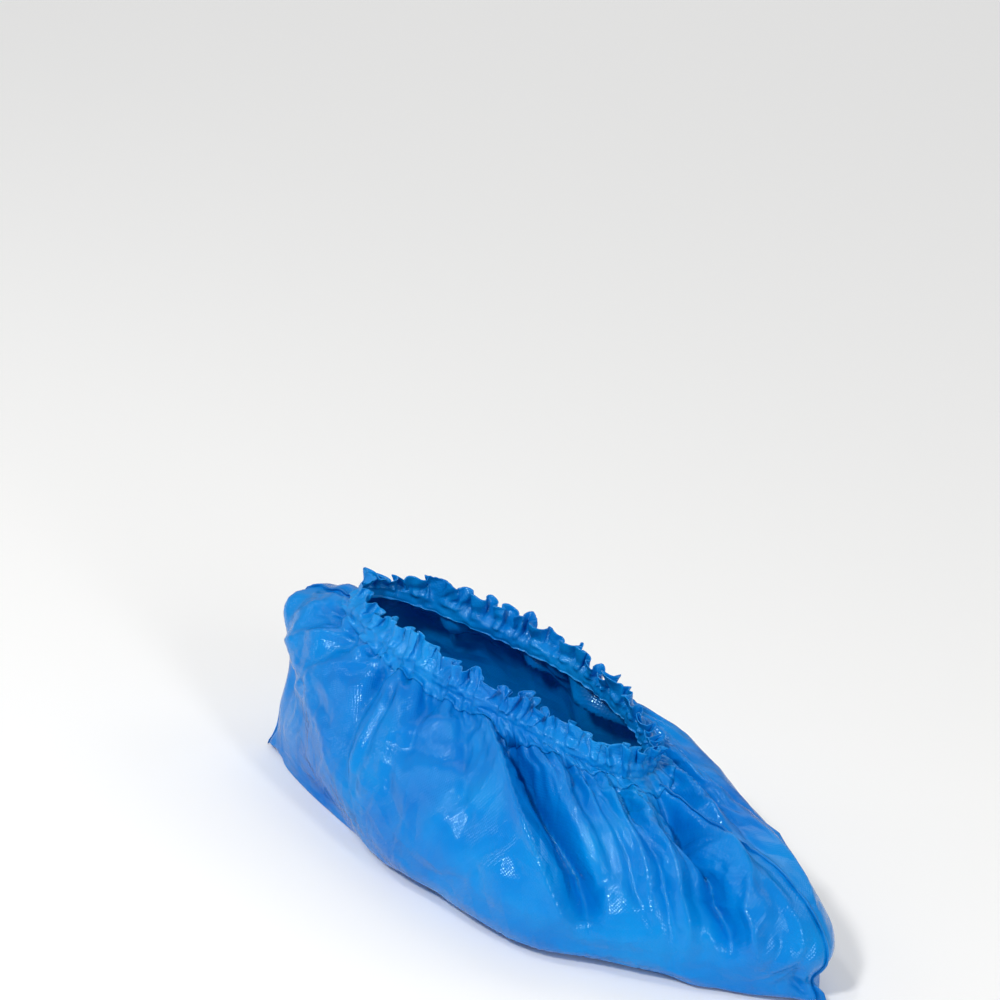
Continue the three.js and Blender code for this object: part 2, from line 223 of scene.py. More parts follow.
def flow_line(neck):
    """Where the line that leaves the elastic at neck lies, for each row of the wall."""
    necks = [row["neck"] for row in flow_rows]
    return flow_between(neck, np.interp(neck, necks, [row["upper"] for row in flow_rows]),
                        np.interp(neck, necks, [row["middle"] for row in flow_rows]))


def flow_neck():
    """Where each place on the wall would come out at the elastic."""
    necks = [row["neck"] for row in flow_rows]
    return flow_between(share_round, np.interp(share_round, [row["upper"] for row in flow_rows], necks),
                        np.interp(share_round, [row["middle"] for row in flow_rows], necks))


# Valleys, and ridges as valleys of negative depth. lean is how far the foot lies ahead, as a share of the way
# round, depth and spread are in millimetres, and reach is a share of the wall.
FOLD = ("neck", "lean", "depth", "spread", "reach")
folds = [dict(zip(FOLD, row)) for row in (
    (0.040, 0.005, 2.6, 6.0, 0.45),
    (0.075, -0.015, 3.4, 7.0, 0.55),
    (0.118, 0.032, 4.2, 6.5, 0.70),
    (0.150, -0.025, -2.0, 9.0, 0.60),
    (0.185, -0.015, 3.0, 5.5, 0.40),
    (0.222, 0.023, 2.6, 5.5, 0.42),
    (0.250, 0.066, -6.4, 6.0, 0.72),
    (0.286, 0.012, 19.0, 6.6, 0.70),
    (0.330, 0.000, -2.0, 5.0, 0.50),
    (0.366, 0.000, 2.5, 3.5, 0.55),
    (0.387, 0.000, 3.0, 3.5, 0.58),
    (0.412, 0.000, -2.0, 3.0, 0.60),
    (0.440, 0.000, 4.4, 3.5, 0.66),
    (0.470, 0.000, -3.0, 3.2, 0.66),
    (0.492, 0.000, 2.6, 2.6, 0.60),
    (0.524, 0.004, 15.0, 7.0, 0.68),
    (0.562, -0.012, -6.0, 6.0, 0.68),
    (0.595, 0.000, 2.4, 5.0, 0.40),
    (0.620, 0.000, -2.4, 7.0, 0.60),
    (0.650, -0.010, 8.0, 7.0, 0.70),
    (0.690, -0.030, 3.6, 5.5, 0.60),
    (0.735, -0.035, -3.0, 9.0, 0.80),
    (0.760, -0.040, 6.5, 7.0, 0.70),
    (0.815, 0.020, 4.5, 6.5, 0.60),
    (0.870, -0.020, -2.0, 7.5, 0.60),
    (0.900, 0.030, 3.8, 6.5, 0.60),
    (0.955, -0.005, 3.0, 6.0, 0.50),
)]

DENT = ("around", "up", "depth", "wide", "high")
dents = [dict(zip(DENT, row)) for row in (
    (0.026, 0.38, 4.6, 0.040, 0.10),
    (0.130, 0.30, 2.4, 0.030, 0.16),
    (0.250, 0.34, 2.7, 0.035, 0.14),
    (0.740, 0.36, 2.7, 0.035, 0.15),
    (0.875, 0.40, 3.0, 0.030, 0.14),
    (0.972, 0.39, 4.0, 0.038, 0.10),
)]
heel_ear = 3.2
valley_sharpness = 1.2
ridge_sharpness = 1.0

# Straight creases between two places on the wall, each given as around and up. height is in millimetres, and
# positive for a ridge. width is how far it spreads to each side, in millimetres.
CREASE = ("around_a", "up_a", "around_b", "up_b", "height", "width")
creases = [dict(zip(CREASE, row)) for row in (
    (0.036, 0.50, 0.068, 0.90, 2.2, 6.0),
    (0.070, 0.62, 0.124, 0.99, 2.0, 5.5),
    (0.030, 0.60, 0.026, 0.88, 2.2, 6.0),
    (0.028, 0.80, 0.060, 0.90, -2.0, 5.0),
    (0.040, 0.44, 0.086, 0.58, -1.6, 5.0),
    (0.040, 0.28, 0.070, 0.60, 1.2, 7.0),
    (0.092, 0.62, 0.128, 0.56, -1.1, 5.0),
    (0.150, 0.90, 0.150, 0.66, -1.8, 4.5),
    (0.152, 0.70, 0.145, 0.44, -1.3, 5.0),
    (0.168, 0.76, 0.252, 0.98, 2.2, 7.0),
    (0.160, 0.70, 0.235, 0.80, -1.2, 6.0),
    (0.165, 0.80, 0.178, 0.56, -1.2, 5.0),
    (0.234, 0.42, 0.284, 0.67, -1.0, 4.0),
    (0.256, 0.40, 0.254, 0.54, -0.8, 4.0),
    (0.238, 0.58, 0.246, 0.68, -0.8, 3.5),
    (0.200, 0.30, 0.246, 0.44, -0.8, 5.0),
    (0.224, 0.68, 0.248, 0.82, 0.9, 5.0),
    (0.190, 0.50, 0.225, 0.36, 0.8, 6.0),
    (0.326, 0.46, 0.344, 0.64, -1.3, 4.0),
    (0.344, 0.62, 0.359, 0.50, 0.8, 5.0),
    (0.358, 0.60, 0.368, 0.44, -1.2, 4.0),
    (0.381, 0.50, 0.384, 0.24, -1.4, 4.0),
    (0.394, 0.52, 0.402, 0.34, -1.2, 4.0),
    (0.414, 0.42, 0.450, 0.70, -1.9, 5.0),
    (0.424, 0.40, 0.462, 0.66, 1.6, 5.0),
    (0.445, 0.36, 0.461, 0.56, -1.3, 3.5),
    (0.452, 0.30, 0.486, 0.52, -1.1, 3.5),
    (0.480, 0.74, 0.474, 0.42, 1.2, 4.5),
    (0.458, 0.22, 0.478, 0.40, -0.9, 3.0),
    (0.468, 0.42, 0.487, 0.18, -2.0, 4.0),
    (0.478, 0.40, 0.497, 0.20, 1.6, 4.0),
    (0.560, 0.55, 0.600, 0.40, -1.4, 5.0),
    (0.610, 0.62, 0.575, 0.80, 1.5, 6.0),
    (0.690, 0.45, 0.735, 0.62, -1.2, 5.0),
    (0.770, 0.40, 0.740, 0.60, 1.2, 6.0),
    (0.820, 0.50, 0.860, 0.36, -1.2, 5.0),
    (0.880, 0.80, 0.930, 0.60, 1.5, 6.0),
    (0.935, 0.88, 0.962, 0.52, -1.6, 6.0),
    (0.930, 0.44, 0.970, 0.54, -1.5, 6.0),
)]


def bell(distance, spread, power=2.0):
    return np.exp(-np.abs(distance / spread) ** power)


def share_gap(a, b):
    gap = np.abs(a - b) % 1.0
    return np.minimum(gap, 1.0 - gap)


def fold_inset():
    """How far in the folds and dents draw the film, in millimetres, fading beside the welds."""
    ends = np.minimum(share_gap(share_round, 0.0), share_gap(share_round, 0.5))
    inset = np.zeros(wall.shape[:2])
    pitch = 0.5 * column_count * np.linalg.norm(np.roll(wall, -1, axis=1) - np.roll(wall, 1, axis=1), axis=-1)
    for fold in folds:
        middle = flow_line(fold["neck"]) + fold["lean"] * below
        middle = middle + 0.0015 * np.sin(9.0 * share_up + 20.0 * fold["neck"])
        spread = fold["spread"] * mix(0.7, 1.15, below)
        sharpness = ridge_sharpness if fold["depth"] < 0.0 else valley_sharpness
        valley = bell(share_gap(share_round, middle) * pitch, spread, sharpness)
        fade = smooth(0.01, 0.08, below) * (1.0 - smooth(0.55 * fold["reach"], fold["reach"], below))
        inset += fold["depth"] * valley * fade
    for dent in dents:
        inset += dent["depth"] * bell(share_gap(share_round, dent["around"]), dent["wide"]) * bell(
            share_up - dent["up"], dent["high"])
    return inset * smooth(0.0, mix(0.012, 0.03, smooth(0.1, 0.3, below)), ends)


def crease_height():
    """The creases' heights over the wall, each a tent across its line that fades at both ends."""
    total = np.zeros(wall.shape[:2])
    for crease in creases:
        ends = []
        for end in ("a", "b"):
            column = int(crease["around_" + end] * column_count) % column_count
            row = int(crease["up_" + end] * wall_rows)
            ends.append(np.array([round_length[row, column], up_length[row, column]]))
        way = ends[1] - ends[0]
        reach = np.linalg.norm(way)
        way = way / reach
        away = np.stack([round_length, up_length], axis=-1) - ends[0]
        along = (away @ way) / reach
        across = away[..., 0] * way[1] - away[..., 1] * way[0]
        across = across + 0.12 * crease["width"] * np.sin(9.0 * along + 7.0 * crease["around_a"] * 10.0)
        tent = np.maximum(0.0, 1.0 - np.abs(across) / crease["width"])
        fade = smooth(-0.12, 0.30, along) * (1.0 - smooth(0.70, 1.12, along))
        total += crease["height"] * (0.7 * tent + 0.3 * tent ** 2) * fade
    return total


def value_noise(scale, seed):
    """Smooth noise from 0 to 1 over the wall, which joins up round the cover. scale is in millimetres."""
    source = np.random.default_rng(seed)
    around_cells = max(4, int(round(round_length.max() / scale)))
    up_cells = int(np.ceil(up_length.max() / scale)) + 2
    lattice = source.random((up_cells + 2, around_cells))
    a = share_round * around_cells + 0.0 * share_up
    b = up_length / scale
    i, j = np.floor(a).astype(int), np.floor(b).astype(int)
    s, t = a - i, b - j
    s, t = s * s * (3.0 - 2.0 * s), t * t * (3.0 - 2.0 * t)
    low = mix(lattice[j, i % around_cells], lattice[j, (i + 1) % around_cells], s)
    high = mix(lattice[j + 1, i % around_cells], lattice[j + 1, (i + 1) % around_cells], s)
    return mix(low, high, t)


def crumple(length, height, lines, seed):
    """Straight creases in many directions, each shown only in patches, that meet in flat facets."""
    source = np.random.default_rng(seed)
    total = np.zeros(wall.shape[:2])
    cycles = max(2, int(round(round_length.max() / length)))
    for line in range(lines):
        round_cycles = int(round(cycles * math.cos(math.pi * line / lines)))
        up_cycle = math.sin(math.pi * line / lines) / length * source.uniform(0.8, 1.25)
        phase = share_round * round_cycles + up_length * up_cycle + source.random()
        phase = phase + 0.35 * value_noise(3.0 * length, seed * 31 + line)
        ridge = 1.0 - 2.0 * np.abs(2.0 * (phase % 1.0) - 1.0)
        patch = smooth(0.42, 0.72, value_noise(1.6 * length, seed * 57 + line))
        total += ridge * patch
    return height * total


def round_noise(share, count, seed, low, high):
    """Random values at count even places round the cover, joined smoothly."""
    values = np.random.default_rng(seed).uniform(low, high, count)
    at = share * count
    k = np.floor(at).astype(int)
    t = at - k
    t = t * t * (3.0 - 2.0 * t)
    return mix(values[k % count], values[(k + 1) % count], t)


def gather_phases(share):
    """The phases of the gathers and of the finer ones between them, round the cover."""
    main = 2.0 * math.pi * (gather_count * share + round_noise(share, 24, 21, -0.45, 0.45))
    fine = 2.0 * math.pi * (2.0 * gather_count * share + round_noise(share, 40, 22, -0.6, 0.6))
    return main, fine


def gather_wave(share):
    main, fine = gather_phases(share)
    return (round_noise(share, gather_count, 23, 0.3, 1.2) * np.cos(main)
            + round_noise(share, 60, 28, 0.1, 0.7) * np.cos(fine + 1.0))


neck_wave = 0.55
pleat_height = 2.3

# How far the pleats run down from the elastic, as shares of the wall, at places round the cover
PLEAT = ("around", "reach", "height")
pleat_rows = [dict(zip(PLEAT, row)) for row in (
    (0.00, 0.22, 0.8),
    (0.10, 0.20, 0.9),
    (0.16, 0.14, 0.8),
    (0.24, 0.11, 0.6),
    (0.28, 0.12, 0.5),
    (0.33, 0.30, 0.8),
    (0.42, 0.40, 0.6),
    (0.47, 0.22, 0.4),
    (0.53, 0.18, 0.4),
    (0.60, 0.20, 0.6),
    (0.75, 0.26, 0.9),
    (0.90, 0.24, 0.9),
    (1.00, 0.22, 0.8),
)]


def round_table(rows, name, share):
    return np.interp(share, [row["around"] for row in rows], [row[name] for row in rows])


def pleats():
    """Fine pleats that run down from the elastic, each with its own depth and reach."""
    share = share_round[0]
    drift = 0.016 * (value_noise(30.0, 300) - 0.5) * smooth(0.05, 0.4, below)
    drift = drift + 0.014 * (value_noise(11.0, 301) - 0.5) * smooth(0.01, 0.12, below)
    wave = gather_wave((flow_neck() + drift) % 1.0)
    reach = round_noise(share, gather_count, 29, 0.55, 1.35) * round_table(pleat_rows, "reach", share)
    reach = reach[None, :]
    fade = 1.0 - smooth(0.30 * reach, reach, below)
    full_height = pleat_height * round_table(pleat_rows, "height", share)[None, :]
    height = mix(neck_wave, full_height, smooth(0.0, 0.07, below))
    return height * wave * fade


def tie(points, move, row_step, column_step, rest, pull, push):
    """Draw pairs of points towards their flat distance, by pull where stretched and push where short."""
    last = len(points) - row_step
    span = np.roll(points[row_step:], -column_step, axis=1) - points[:last]
    length = np.linalg.norm(span, axis=-1)
    strain = 1.0 - rest / length
    span *= (0.5 * strain * np.where(strain > 0.0, pull, push))[..., None]
    move[:last] += span
    move[row_step:] -= np.roll(span, column_step, axis=1)


def span_lengths(points, row_step, column_step):
    ahead = np.roll(points[row_step:], -column_step, axis=1)
    return np.linalg.norm(ahead - points[:len(points) - row_step], axis=-1)


# Ties between the film's points: how many rows and columns apart the two are, the share of their distance
# that the film keeps where it bends, and how strongly a stretched pair is drawn in and a short one pushed
# apart
TIE = ("rows", "columns", "slack", "pull", "push")
tie_kinds = [dict(zip(TIE, row)) for row in (
    (0, 1, 1.0, 1.0, 1.0),
    (1, 0, 1.0, 1.0, 1.0),
    (1, 1, 1.0, 0.5, 0.5),
    (1, -1, 1.0, 0.5, 0.5),
    (0, 2, 0.955, 0.0, 0.7),
    (2, 0, 0.955, 0.0, 0.7),
    (0, 5, 0.975, 0.0, 0.35),
    (5, 0, 0.975, 0.0, 0.35),
)]
settle_momentum = 0.85
settle_step = 0.24


def settle(points, spare_round, spare_up, hold, rounds):
    """Let film find its own creases. spare is extra length as a share, and hold draws points back."""
    start = points.copy()
    rests = []
    for kind in tie_kinds:
        if kind["rows"] == 0:
            spare = spare_round
        elif kind["columns"] == 0:
            spare = spare_up
        else:
            spare = 0.5 * (spare_round + spare_up)
        length = kind["slack"] * span_lengths(start, kind["rows"], kind["columns"])
        rests.append(length * (1.0 + spare[:len(points) - kind["rows"]]))
    before = points.copy()
    for step in range(rounds):
        move = hold[..., None] * (start - points)
        for kind, rest in zip(tie_kinds, rests):
            tie(points, move, kind["rows"], kind["columns"], rest, kind["pull"], kind["push"])
        ahead = points + settle_momentum * (points - before) + settle_step * move
        before = points
        points = ahead
        points[hold >= 1.0] = start[hold >= 1.0]
    return points


facet_fade = 1.0 - 0.6 * smooth(0.80, 1.0, share_up)
sole_fade = smooth(0.0, 0.10, share_up)
shift = pleats() - fold_inset() + crease_height()

# Flat facets all over, calmer behind the near side's straight ridge and at the toe
first_ridge = flow_line(0.254) + 0.06 * below
calm = 1.0 - 0.8 * bell(share_gap(share_round, first_ridge + 0.012), 0.035) * smooth(0.3, 0.5, share_up)
toe_calm = 1.0 - 0.6 * bell(share_gap(share_round, 0.49), 0.07)
wide_facets = crumple(70.0, 1.0, 6, 5) + crumple(36.0, 0.5, 7, 6)
shift += calm * toe_calm * facet_fade * wide_facets * sole_fade

# Small crinkles below the elastic, strongest beside the heel
near_elastic = smooth(0.74, 0.90, share_up) * (1.0 - smooth(0.95, 1.0, share_up))
crinkle_strength = 0.4 + 0.5 * bell(share_gap(share_round, 0.13), 0.09)
shift += calm * crinkle_strength * crumple(13.0, 1.0, 7, 8) * near_elastic

# Smaller facets on the near side of the toe and the heel, and strong ones over the heel's top
toe_near = bell(share_gap(share_round, 0.47), 0.055) * smooth(0.12, 0.30, share_up)
heel_near = bell(share_gap(share_round, 0.05), 0.07) * smooth(0.3, 0.6, share_up)
small_facets = crumple(24.0, 0.55, 7, 12) + crumple(10.0, 0.16, 7, 13)
shift += (0.25 * toe_near + 0.5 * heel_near) * small_facets
heel_top = bell(share_gap(share_round, 0.03), 0.09) * smooth(0.46, 0.62, share_up)
heel_top = heel_top * (1.0 - smooth(0.88, 0.97, share_up))
shift += heel_top * (crumple(30.0, 1.7, 5, 14) + crumple(16.0, 0.8, 6, 15))

# The heel's ear bulges at the second level, where the corner of the flat cover is
ear_up = 1.0 / (len(levels) - 1.0)
shift += heel_ear * (bell(share_gap(share_round, 0.0), 0.013, 1.4) * bell(share_up - ear_up, 0.024))
shift += 0.9 * (value_noise(52.0, 9) - 0.5) * sole_fade * (1.0 - smooth(0.85, 1.0, share_up))
shift = shift * smooth(0.0, 0.06, share_up)
wall = wall + grid_normals(wall) * shift[..., None]
wall_rounds = 240
crinkled = smooth(0.55, 1.0, value_noise(34.0, 61)) + 0.15 * toe_near + 0.1 * heel_near
spare_round = 0.004 + 0.020 * crinkled + 0.12 * smooth(0.72, 0.97, share_up)
spare_up = 0.003 + 0.014 * crinkled + 0.008 * smooth(0.80, 1.0, share_up)
hold = 0.006 + 0.35 * (1.0 - smooth(0.0, 0.14, share_up))
hold = hold + 0.3 * smooth(0.97, 1.0, share_up) + 0.0 * share_round
hold[0] = 1.0
hold[-1] = 1.0
wall = settle(wall, spare_round, spare_up, hold, wall_rounds)
wall[..., 2] = np.maximum(wall[..., 2], film_thickness)
wall[0, :, 2] = 0.0


def new_mesh(name, points, faces, coordinates=None):
    """A mesh object in metres from points in millimetres, faces as vertex numbers and a map if given."""
    mesh = bpy.data.meshes.new(name)
    mesh.from_pydata((np.asarray(points) * MM).tolist(), [], faces)
    mesh.update()
    if coordinates is not None:
        layer = mesh.uv_layers.new(name="surface")
        corners = np.zeros(len(mesh.loops), dtype=np.int32)
        mesh.loops.foreach_get("vertex_index", corners)
        layer.data.foreach_set("uv", (np.asarray(coordinates) * MM)[corners].ravel())
    piece = bpy.data.objects.new(name, mesh)
    bpy.context.scene.collection.objects.link(piece)
    mesh.polygons.foreach_set("use_smooth", np.ones(len(mesh.polygons), dtype=bool))
    return piece


def ring_faces(ring_total, count, closed=False):
    """Quads between rings of count points, each ring after the one below it."""
    faces = []
    for ring in range(ring_total if closed else ring_total - 1):
        low = ring * count
        high = ((ring + 1) % ring_total) * count
        for k in range(count):
            n = (k + 1) % count
            faces.append((low + k, low + n, high + n, high + k))
    return faces


def sole_points():
    """Rings inside the sole's edge, which shrink onto its middle line."""
    edge = wall[0]
    mirror = edge[(-np.arange(column_count)) % column_count]
    middle = 0.5 * (edge + mirror)
    middle[:, 0] = mix(middle[:, 0], edge[:, 0].mean(), 0.06)
    rings = []
    for ring in range(1, sole_rings + 1):
        share = ring / (sole_rings + 1.0)
        rings.append(mix(edge, middle, share))
    return rings


rings = list(reversed(sole_points())) + list(wall)
film_points = np.concatenate(rings)
film_faces = ring_faces(len(rings), column_count)

# A strip along the sole's middle joins the near and far halves of the innermost ring
for k in range(column_count // 2):
    far = column_count - k
    corners = [far % column_count, far - 1, k + 1, k]
    film_faces.append(tuple(dict.fromkeys(corners)))
sole_lengths = np.concatenate([
    np.stack([round_length[0], np.full(column_count, -sole_ring_step * (sole_rings - ring))], axis=1)
    for ring in range(sole_rings)])
wall_lengths = np.stack([round_length, up_length], axis=-1).reshape(-1, 2)
film_body = new_mesh("film_body_sheet", film_points, film_faces, np.concatenate([sole_lengths, wall_lengths]))
solid = film_body.modifiers.new("thickness", "SOLIDIFY")
solid.thickness = film_thickness * MM
solid.offset = -1.0


class Value:
    """A shader socket that numbers and other sockets can be added to, multiplied by and so on."""

    def __init__(self, nodes, socket):
        self.nodes = nodes
        self.socket = socket

    def _math(self, operation, a, b):
        return self.nodes.make("ShaderNodeMath", {"operation": operation}, [a, b])

    def __add__(self, other):
        return self._math("ADD", self, other)

    __radd__ = __add__

    def __mul__(self, other):
        return self._math("MULTIPLY", self, other)

    __rmul__ = __mul__

    def __sub__(self, other):
        return self._math("SUBTRACT", self, other)

    def __rsub__(self, other):
        return self._math("SUBTRACT", other, self)


class Shader:
    """A material's nodes. make adds a node by its type, settings and inputs, and gives its first output."""

    def __init__(self, name):
        self.material = bpy.data.materials.new(name)
        self.material.use_nodes = True
        self.tree = self.material.node_tree
        self.surface = self.tree.nodes["Principled BSDF"]

    def make(self, kind, settings=None, inputs=None, output=0):
        node = self.tree.nodes.new(kind)
        for name, value in (settings or {}).items():
            if name == "stops":
                ramp = node.color_ramp
                for k, (place, tint) in enumerate(value):
                    stop = ramp.elements[k] if k < len(ramp.elements) else ramp.elements.new(place)
                    stop.position = place
                    stop.color = tint
            else:
                setattr(node, name, value)
        pairs = inputs.items() if isinstance(inputs, dict) else enumerate(inputs or [])
        for name, value in pairs:
            self.feed(node.inputs[name], value)
        return Value(self, node.outputs[output])

    def feed(self, socket, value):
        if isinstance(value, Value):
            self.tree.links.new(value.socket, socket)
        else:
            socket.default_value = value

    def set(self, **sockets):
        for name, value in sockets.items():
            self.feed(self.surface.inputs[name.replace("_", " ")], value)


# Fine straight creases in the film, in metres apart, turned in degrees, and each shown only in patches
FINE_CREASE = ("turn", "apart", "height")
fine_crease_rows = [dict(zip(FINE_CREASE, row)) for row in (
    (18.0, 0.017, 1.0),
    (74.0, 0.013, 0.9),
    (-38.0, 0.010, 0.8),
    (118.0, 0.008, 0.6),
)]

# How far apart a wave texture's lines lie at a scale of 1
wave_length = 0.314


def fine_creases(shader, place):
    """The height of the film's fine creases, as flat facets between straight lines."""
    total = 0.0
    for number, row in enumerate(fine_crease_rows):
        rotation = tuple(math.radians(turn) for turn in (23.0 * number, row["turn"], 31.0 * number))
        turned = shader.make("ShaderNodeMapping", {}, {"Vector": place, "Rotation": rotation})
        lines = shader.make("ShaderNodeTexWave", {"wave_type": "BANDS", "wave_profile": "TRI"}, {
            "Vector": turned, "Scale": wave_length / row["apart"], "Distortion": 2.2, "Detail": 1.0,
            "Detail Scale": 1.4, "Detail Roughness": 0.4, "Phase Offset": 1.7 * number})
        patch = shader.make("ShaderNodeTexNoise", {"noise_dimensions": "4D"},
                            {"Vector": place, "W": 3.1 * number, "Scale": 34.0, "Detail": 1.0})
        shown = shader.make("ShaderNodeMapRange", {"interpolation_type": "SMOOTHSTEP"},
                            {"Value": patch, "From Min": 0.47, "From Max": 0.64})
        total = lines * shown * row["height"] + total
    return total


def film_material(name, deep, mid, light, emboss_pitch, roughness):
    """Glossy blown film: soft clouding, a fine embossed grain, and small crinkles in the highlights."""
    shader = Shader(name)
    place = shader.make("ShaderNodeTexCoord", output="UV")
    body = shader.make("ShaderNodeTexCoord", output="Object")
    cloud = shader.make("ShaderNodeTexNoise", {"noise_dimensions": "3D"},
                        {"Vector": body, "Scale": 16.0, "Detail": 3.0, "Roughness": 0.55})
    streak = shader.make("ShaderNodeTexNoise", {"noise_dimensions": "3D"},
                         {"Vector": body, "Scale": 60.0, "Detail": 4.0, "Roughness": 0.6})
    shade = cloud * 0.7 + streak * 0.3
    tint = shader.make("ShaderNodeValToRGB", {"stops": ((0.30, deep), (0.52, mid), (0.74, light))}, [shade])
    turned = shader.make("ShaderNodeMapping", {}, {
        "Vector": place, "Rotation": (0.0, 0.0, math.radians(45.0)),
        "Scale": (1.0 / emboss_pitch, 1.0 / emboss_pitch, 1.0)})
    cells = shader.make("ShaderNodeTexVoronoi", {"feature": "F1"},
                        {"Vector": turned, "Scale": 1.0, "Randomness": 0.2})
    emboss = shader.make("ShaderNodeBump", {}, {"Strength": 0.75, "Distance": 0.16 * MM, "Height": cells})
    crinkle = shader.make("ShaderNodeTexNoise", {"noise_dimensions": "3D"}, {
        "Vector": body, "Scale": 170.0, "Detail": 4.0, "Roughness": 0.58, "Distortion": 0.8})
    facets = shader.make("ShaderNodeTexVoronoi", {"feature": "F1", "distance": "MANHATTAN"},
                         {"Vector": body, "Scale": 85.0, "Randomness": 1.0})
    creased = shader.make("ShaderNodeBump", {}, {
        "Strength": 1.0, "Distance": 0.8 * MM, "Height": fine_creases(shader, body), "Normal": emboss})
    height = crinkle * 0.6 + facets * 0.4
    bump = shader.make("ShaderNodeBump", {}, {
        "Strength": 0.20, "Distance": 0.9 * MM, "Height": height, "Normal": creased})
    shader.set(Base_Color=tint, Normal=bump)
    rough = cloud * 0.10 + roughness
    shader.set(Roughness=rough)
    shader.surface.inputs["IOR"].default_value = 1.5
    shader.surface.inputs["Specular IOR Level"].default_value = 0.45
    shader.surface.inputs["Specular Tint"].default_value = (0.50, 0.84, 1.0, 1.0)
    return shader.material


def colour(red, green, blue):
    """A colour given as sRGB bytes, in the linear values that a shader takes."""
    parts = [part / 255.0 for part in (red, green, blue)]
    linear = [part / 12.92 if part <= 0.04045 else ((part + 0.055) / 1.055) ** 2.4 for part in parts]
    return (*linear, 1.0)


film_blue = film_material("blue_film", colour(0, 104, 194), colour(0, 124, 207), colour(0, 140, 217),
                          1.0 * MM, 0.12)
film_body.data.materials.append(film_blue)
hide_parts("film_body")
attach(film_body, "root")

# Ruffled hem.
# The film's upper edge is folded down over the elastic as two leaves and welded below it.
# Above the elastic they stand up together in a limp, crumpled ruffle.

hem_columns_per_gather = 28
hem_columns = gather_count * hem_columns_per_gather
hem_angles = column_angles(hem_columns)
hem_share = np.arange(hem_columns) / hem_columns
rim = elastic_point(hem_angles)
rim_along = np.roll(rim, -1, axis=0) - np.roll(rim, 1, axis=0)
rim_along /= np.linalg.norm(rim_along, axis=1, keepdims=True)
rim_out = np.stack([rim_along[:, 1], -rim_along[:, 0], np.zeros(hem_columns)], axis=1)
rim_out /= np.linalg.norm(rim_out, axis=1, keepdims=True)

frill_height = 10.5
channel_roof = 2.1
skirt_depth = 1.7
leaf_gap = 0.35
leaf_inset = 0.3
leaf_thickness = 0.25
frill_rows = 15
frill_rounds = 160
main_phase, fine_phase = gather_phases(hem_share)
hem_gathers = gather_wave(hem_share)
swing_size = round_noise(hem_share, gather_count, 31, 0.15, 1.45)
side_size = round_noise(hem_share, gather_count, 24, -1.0, 1.0)
flop = round_noise(hem_share, 13, 25, -1.0, 1.0)
uneven = round_noise(hem_share, 26, 26, -0.30, 0.26) + round_noise(hem_share, 90, 27, -0.12, 0.12)
ruffle_drift = round_noise(hem_share, 17, 35, -1.2, 1.2)


def hem_ring(share, out, rise):
    """A ring at a share of the ruffle's height, out from the elastic's middle line and risen above it."""
    grow = share ** 0.8
    leaned = main_phase + ruffle_drift * grow
    swing = swing_size * (2.6 * np.cos(leaned) + 0.9 * np.cos(fine_phase + 1.0 + 2.0 * grow)) * grow
    side = (1.2 * np.sin(2.0 * leaned + 0.6) + 3.0 * side_size * np.sin(leaned + 1.1)) * grow
    slant = hem_share + 0.012 * share * side_size
    facets = 0.9 * np.abs(round_noise(slant % 1.0, 110, 41, -1.0, 1.0))
    facets = facets + 0.5 * round_noise((slant + 0.02 * share) % 1.0, 150, 42, -1.0, 1.0)
    out = out + facets * min(1.0, 2.0 * share)
    points = rim + rim_out * (out + swing + (3.4 * flop - 1.2) * grow)[:, None] + rim_along * side[:, None]
    points[:, 2] += rise - 0.8 * grow * np.abs(np.sin(leaned)) * swing_size
    return points


skirt_rows = (4, 3, 2, 1)
skirt_clear = 0.5
at = hem_share * column_count
body_normals = grid_normals(wall)
outer_rings = []
inner_rings = []
body_columns = np.arange(column_count + 1)
for row in skirt_rows:
    ring = wall[-1 - row] + skirt_clear * body_normals[-1 - row]
    ring = np.concatenate([ring, ring[:1]])
    outer_rings.append(np.stack([np.interp(at, body_columns, ring[:, k]) for k in range(3)], axis=1))
    inner_rings.append(hem_ring(0.0, -hem_out + leaf_inset + neck_wave * hem_gathers, -skirt_depth))
channel_rises = (-0.9, 0.0, 0.9, channel_roof)
for number, rise in enumerate(channel_rises):
    belly = 0.25 * math.cos(0.9 * rise)
    crinkle = round_noise(hem_share, 120, 51 + number, -0.55, 0.55)
    crinkle = crinkle + round_noise(hem_share, 60, 56, -0.4, 0.4)
    outer_out = hem_out + belly - leaf_inset + neck_wave * hem_gathers + crinkle
    inner_out = -hem_out - belly + leaf_inset + neck_wave * hem_gathers + crinkle
    outer_rings.append(hem_ring(0.0, outer_out, rise + 0.15 * crinkle))
    inner_rings.append(hem_ring(0.0, inner_out, rise + 0.15 * crinkle))
for row in range(1, frill_rows + 1):
    share = row / frill_rows
    rise = channel_roof + share * (frill_height * (1.0 + uneven) - channel_roof)
    near_roof = 1.0 - smooth(0.0, 0.5, share)
    waved = (0.35 + neck_wave * near_roof) * hem_gathers
    outer_rings.append(hem_ring(share, near_roof * hem_out + waved, rise))
    inner_rings.append(hem_ring(share, -near_roof * hem_out + waved, rise))
outer_leaf = np.stack(outer_rings)
inner_leaf = np.stack(inner_rings)
level_rings = len(skirt_rows) + len(channel_rises)
leaf_up = np.concatenate([np.zeros(level_rings), np.arange(1, frill_rows + 1) / frill_rows])[:, None]
leaf_share = np.broadcast_to(hem_share[None, :], outer_leaf.shape[:2])
spare_round = 0.05 + 0.24 * leaf_up * round_noise(leaf_share, 31, 33, 0.3, 1.0)
spare_up = 0.02 + 0.10 * leaf_up * round_noise(leaf_share, 50, 34, 0.0, 1.0)
hold = 0.35 * (1.0 - smooth(0.0, 0.25, leaf_up)) + 0.012 + 0.0 * leaf_share
hold[:len(skirt_rows)] = 1.0
